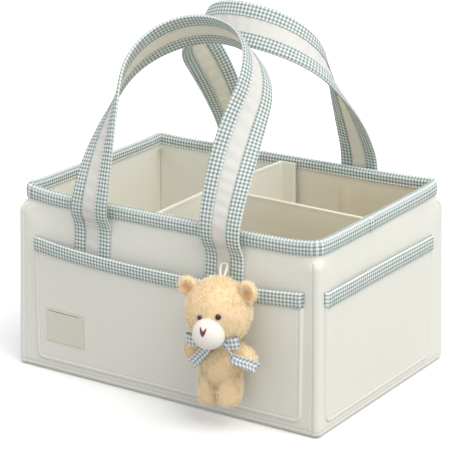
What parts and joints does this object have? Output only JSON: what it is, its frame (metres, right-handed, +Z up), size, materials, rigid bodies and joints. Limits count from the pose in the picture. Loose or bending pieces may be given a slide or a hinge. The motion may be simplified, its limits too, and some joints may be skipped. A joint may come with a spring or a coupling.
{
  "type": "diaper caddy",
  "caption": "Open-topped soft basket with checked bindings, outside pockets, two strap handles, lift-out dividers and a hanging plush bear.",
  "frame": {"origin": "centre of the flat underside of the basket", "axes": "+Z up out of the open top, -Y towards the front wall that carries the label and the bear, +X along the basket's length to the right"},
  "size_m": [0.3446, 0.3059, 0.342],
  "materials": {
    "canvas": "plain-woven cotton canvas, matt",
    "lining": "smooth lining cloth, matt",
    "board": "pressed stiffening board",
    "gingham": "small green and white check",
    "label": "woven satin tape, bare",
    "strap": "plain-woven strap cloth",
    "hook": "hook tape",
    "plush": "short pile plush",
    "muzzle": "white short pile plush",
    "nose": "satin-stitched thread",
    "eye": "polished bead",
    "bow": "blue-grey check ribbon",
    "ribbon": "thin satin ribbon"
  },
  "bodies": {
    "basket": {"front_cover": "canvas", "front_board": "board", "front_pocket": "canvas", "front_pocket_binding": "gingham", "right_cover": "canvas", "right_board": "board", "right_pocket": "canvas", "right_pocket_binding": "gingham", "back_cover": "canvas", "back_board": "board", "back_pocket": "canvas", "back_pocket_binding": "gingham", "left_cover": "canvas", "left_board": "board", "left_pocket": "canvas", "left_pocket_binding": "gingham", "base_cover": "canvas", "base_board": "board", "lining": "lining", "rim_binding": "gingham", "label": "label", "front_strap_end_left": "strap", "front_strap_end_right": "strap", "rear_strap_end_left": "strap", "rear_strap_end_right": "strap"},
    "front_handle": {"front_handle_strap": "strap", "front_handle_upper_edging": "gingham", "front_handle_lower_edging": "gingham"},
    "rear_handle": {"rear_handle_strap": "strap", "rear_handle_upper_edging": "gingham", "rear_handle_lower_edging": "gingham"},
    "cross_divider": {"cross_divider_panel": "canvas", "cross_divider_front_hook_strip": "hook", "cross_divider_back_hook_strip": "hook"},
    "long_divider": {"long_divider_panel": "canvas", "long_divider_left_hook_strip": "hook", "long_divider_right_hook_strip": "hook"},
    "hanging_loop": {"bear_loop": "ribbon"},
    "bear": {"bear_head": "plush", "bear_torso": "plush", "bear_muzzle": "muzzle", "bear_nose": "nose", "bear_left_ear": "plush", "bear_right_ear": "plush", "bear_left_eye": "eye", "bear_right_eye": "eye", "bear_left_arm": "plush", "bear_right_arm": "plush", "bear_left_leg": "plush", "bear_right_leg": "plush", "bow_collar": "bow", "bow_knot": "bow", "bow_left_loop": "bow", "bow_right_loop": "bow", "bow_left_tail": "bow", "bow_right_tail": "bow"}
  },
  "joints": [
    {"name": "front_handle_swing", "type": "hinge", "parent": "basket", "child": "front_handle", "pos_m": [0, -0.1148, 0.1522], "axis": [1, 0, 0], "range_deg": [0, 85]},
    {"name": "rear_handle_swing", "type": "hinge", "parent": "basket", "child": "rear_handle", "pos_m": [0, 0.1148, 0.1522], "axis": [-1, 0, 0], "range_deg": [0, 130]},
    {"name": "cross_divider_lift", "type": "slide", "parent": "basket", "child": "cross_divider", "axis": [0, 0, 1], "range_m": [0, 0.12]},
    {"name": "long_divider_lift", "type": "slide", "parent": "basket", "child": "long_divider", "axis": [0, 0, 1], "range_m": [0, 0.12]},
    {"name": "bear_sway", "type": "hinge", "parent": "basket", "child": "hanging_loop", "pos_m": [0.069, -0.1158, 0.142], "axis": [0, 1, 0], "range_deg": [-20, 20]},
    {"name": "bear_tilt", "type": "hinge", "parent": "hanging_loop", "child": "bear", "pos_m": [0.0783, -0.1336, 0.1348], "axis": [1, 0, 0], "range_deg": [-45, 0]}
  ]
}
